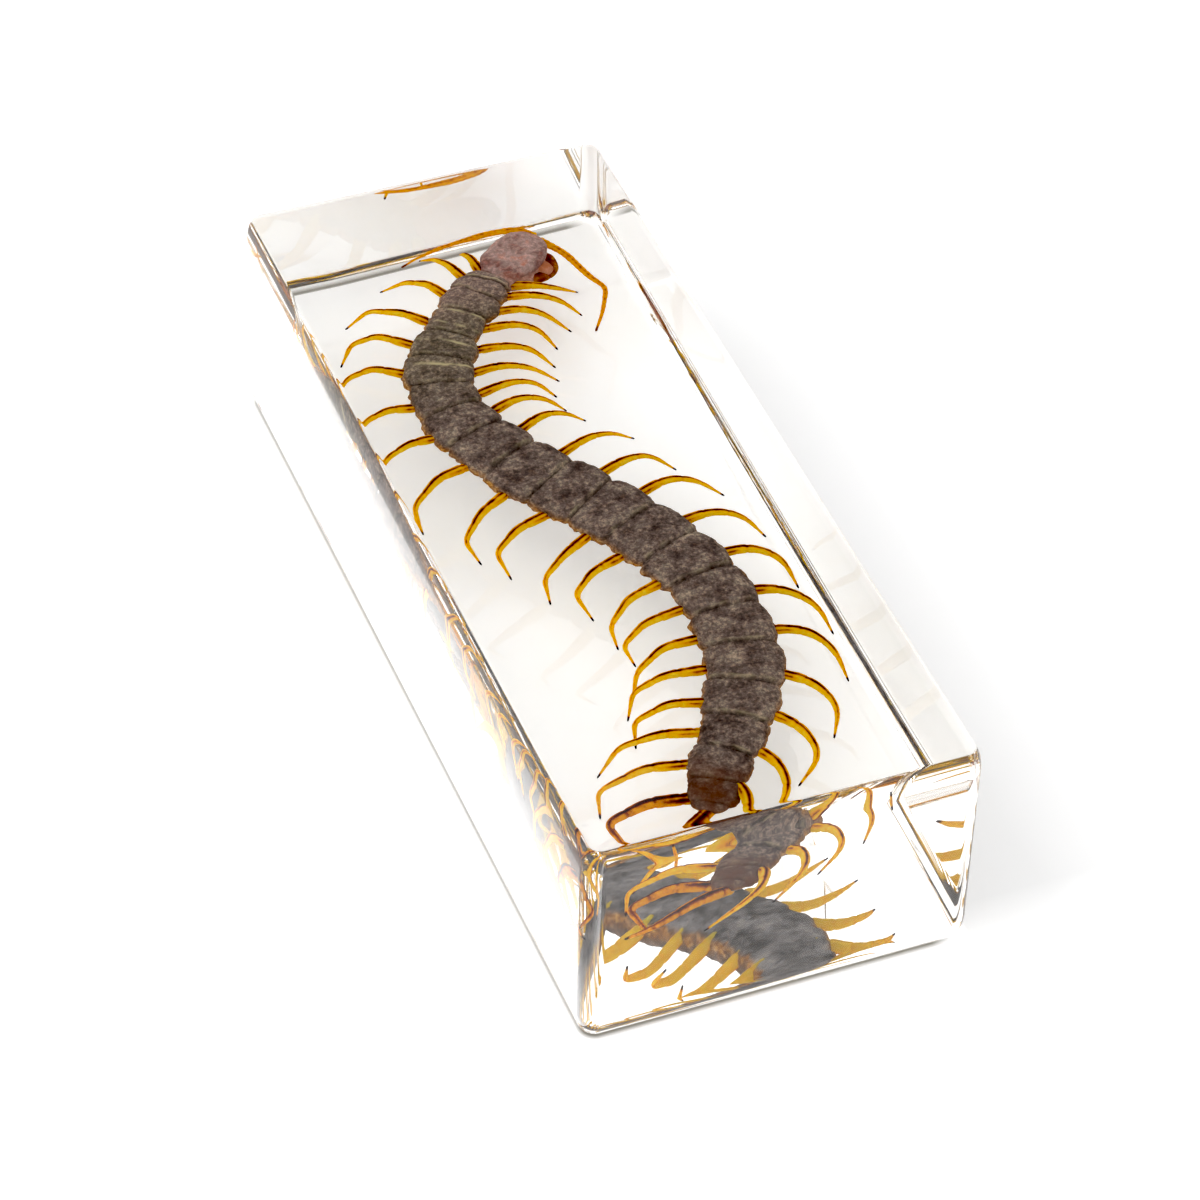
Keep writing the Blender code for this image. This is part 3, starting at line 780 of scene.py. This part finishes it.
faint = add(floor_paint, "ShaderNodeValToRGB", {"Fac": away.outputs[0]},
            stops=((0.04, "D6D6D6"), (0.26, "D4D4D4"), (0.42, "DADADA"), (1.0, "FFFFFF")))
ground = add(floor_paint, "ShaderNodeMix",
             {0: beside_right.outputs[0], 6: foot.outputs[2], 7: faint.outputs["Color"]},
             data_type="RGBA")
shaded = add(floor_paint, "ShaderNodeMix",
             {6: white.outputs["Color"], 7: ground.outputs[2]}, {0: 1.0},
             data_type="RGBA", blend_type="MULTIPLY")
matte = add(floor_paint, "ShaderNodeBsdfPrincipled",
            {"Base Color": shaded.outputs[2], "Emission Color": ground.outputs[2],
             "Emission Strength": glow.outputs[0]}, {"Roughness": 0.9})
add(floor_paint, "ShaderNodeOutputMaterial", {"Surface": matte.outputs["BSDF"]})
# The animal sees the floor only through resin, where sampling it as a lamp finds nothing.
floor_paint.cycles.emission_sampling = "NONE"
print(floor_paint.name, "has", len(floor_paint.node_tree.nodes), "nodes")

# %% Floor
work = bmesh.new()
bmesh.ops.create_grid(work, x_segments=1, y_segments=1, size=FLOOR_HALF_METRES)
bmesh.ops.translate(work, vec=(0, 0, -FLOOR_DROP * MM), verts=work.verts)
mesh = bpy.data.meshes.new("floor")
work.to_mesh(mesh)
work.free()
mesh.materials.append(floor_paint)
floor = bpy.data.objects.new("floor", mesh)
bpy.context.scene.collection.objects.link(floor)
print("floor:", 2 * FLOOR_HALF_METRES, "m wide")

# %% [markdown]
# ## Light
#
# Clear things on white are hard to see, so a photographer lets them mirror something dark.
# The sky is white but for one round dark card behind the block and one narrow dark flag that
# runs from it over the block to the front. The card stands where the camera sees it mirrored
# in the top face, which keeps the colours under the top deep. The rounded front rim mirrors
# the flag as a dark line. Real cards would need meshes round the block, so both are drawn in
# the sky itself.

# %% Sky
# Both are given as directions from the block: the card by its middle and two angles, the
# flag by half its width, and by where it starts in front, is fully dark and ends behind.
SKY_LEVEL = 1.25
CARD_DIRECTION = Vector((0.2819, 0.6753, 0.6813))
CARD_EDGE = math.cos(math.radians(14.0))
CARD_CORE = math.cos(math.radians(10.0))
CARD_LEVEL = 0.12
FLAG_HALF = 0.08
FLAG_EDGE = 0.13
FLAG_FRONT = -0.65
FLAG_FADED = -0.55
FLAG_BACK = 0.68

world = bpy.data.worlds.new("White sky with a dark card and a flag")
bpy.context.scene.world = world
world.use_nodes = True
world.node_tree.nodes.clear()
direction = add(world, "ShaderNodeTexCoord")
towards = add(world, "ShaderNodeVectorMath", {0: direction.outputs["Generated"]},
              {1: CARD_DIRECTION}, operation="DOT_PRODUCT")
card = add(world, "ShaderNodeMapRange", {0: towards.outputs["Value"]},
           {1: CARD_EDGE, 2: CARD_CORE, 3: 0.0, 4: 1.0}, interpolation_type="SMOOTHSTEP")
sides = add(world, "ShaderNodeSeparateXYZ", {0: direction.outputs["Generated"]})
offset = add(world, "ShaderNodeMath", {0: sides.outputs["X"]}, {1: CARD_DIRECTION.x},
             operation="SUBTRACT")
apart = add(world, "ShaderNodeMath", {0: offset.outputs[0]}, operation="ABSOLUTE")
narrow = add(world, "ShaderNodeMapRange", {0: apart.outputs[0]},
             {1: FLAG_HALF, 2: FLAG_EDGE, 3: 1.0, 4: 0.0})
after_start = add(world, "ShaderNodeMapRange", {0: sides.outputs["Y"]},
                  {1: FLAG_FRONT, 2: FLAG_FADED, 3: 0.0, 4: 1.0})
before_end = add(world, "ShaderNodeMath", {0: sides.outputs["Y"]}, {1: FLAG_BACK},
                 operation="LESS_THAN")
above = add(world, "ShaderNodeMath", {0: sides.outputs["Z"]}, {1: 0.0},
            operation="GREATER_THAN")
flag = narrow
for limit in (after_start, before_end, above):
    flag = add(world, "ShaderNodeMath", {0: flag.outputs[0], 1: limit.outputs[0]},
               operation="MULTIPLY")
darkest = add(world, "ShaderNodeMath", {0: card.outputs[0], 1: flag.outputs[0]},
              operation="MAXIMUM")
level = add(world, "ShaderNodeMapRange", {0: darkest.outputs[0]},
            {1: 0.0, 2: 1.0, 3: SKY_LEVEL, 4: CARD_LEVEL})
sky = add(world, "ShaderNodeBackground", {"Strength": level.outputs[0]},
          {"Color": linear("FFFFFF")})
add(world, "ShaderNodeOutputWorld", {"Surface": sky.outputs["Background"]})
print(world.name, "has", len(world.node_tree.nodes), "nodes")

# %% Lamp
# One large square lamp, in metres and watts, stands high on the left.
LAMP_SIDE = 0.6
LAMP_POWER = 2.0
LAMP_PLACE = (-0.45, 0.25, 0.75)
lamp_data = bpy.data.lights.new("soft_lamp", "AREA")
lamp_data.shape = "SQUARE"
lamp_data.size = LAMP_SIDE
lamp_data.energy = LAMP_POWER
lamp = bpy.data.objects.new("soft_lamp", lamp_data)
lamp.location = LAMP_PLACE
lamp.rotation_euler = (-lamp.location).to_track_quat("-Z", "Y").to_euler()
bpy.context.scene.collection.objects.link(lamp)
print("lamp:", LAMP_SIDE, "m wide,", LAMP_POWER, "W")

# %% [markdown]
# ## Picture and camera
#
# Light that enters the block is thrown back many times before it leaves. With the usual
# number of bounces those ways would end black, so more are allowed. The picture is shown
# with plain screen colours, and the thin veil of light that the top face adds is taken off
# with the black level, as a photographer does. The camera stands where the photograph was
# taken from: its place and lens were found by matching the edges of the block.

# %% Picture settings
RESIN_BOUNCES = 18
BLACK_LEVEL = 0.02
scene = bpy.context.scene
scene.cycles.max_bounces = RESIN_BOUNCES
scene.cycles.transmission_bounces = RESIN_BOUNCES
scene.cycles.glossy_bounces = 12
scene.cycles.diffuse_bounces = 4
scene.view_settings.view_transform = "Standard"
scene.view_settings.use_curve_mapping = True
scene.view_settings.curve_mapping.black_level = (BLACK_LEVEL,) * 3
print("bounces:", RESIN_BOUNCES)

# %% Camera
# A long lens from the front left, about 43 degrees up and half a metre away. The lens and
# the middle are in pixels of the photograph, the place is in mm.
FOCAL_PIXELS = 4776.0
PICTURE_PIXELS = 1200.0
MIDDLE_PIXEL = (593.4, 615.1)
CAMERA_PLACE = Vector((-149.5, -359.6, 367.9))
CAMERA_RIGHT = Vector((0.93124, -0.36355, 0.02504))
CAMERA_UP = Vector((0.23081, 0.64160, 0.73149))

camera_data = bpy.data.cameras.new("camera")
camera_data.sensor_width = 36.0
camera_data.lens = 36.0 * FOCAL_PIXELS / PICTURE_PIXELS
camera_data.clip_start = 0.01
camera_data.shift_x = 0.5 - MIDDLE_PIXEL[0] / PICTURE_PIXELS
camera_data.shift_y = MIDDLE_PIXEL[1] / PICTURE_PIXELS - 0.5
camera = bpy.data.objects.new("camera", camera_data)
axes = Matrix((CAMERA_RIGHT, CAMERA_UP, CAMERA_RIGHT.cross(CAMERA_UP))).transposed()
camera.matrix_world = Matrix.Translation(CAMERA_PLACE * MM) @ axes.to_4x4()
bpy.context.scene.collection.objects.link(camera)
scene.camera = camera
print("lens:", round(camera_data.lens), "mm, distance:", round(CAMERA_PLACE.length), "mm")
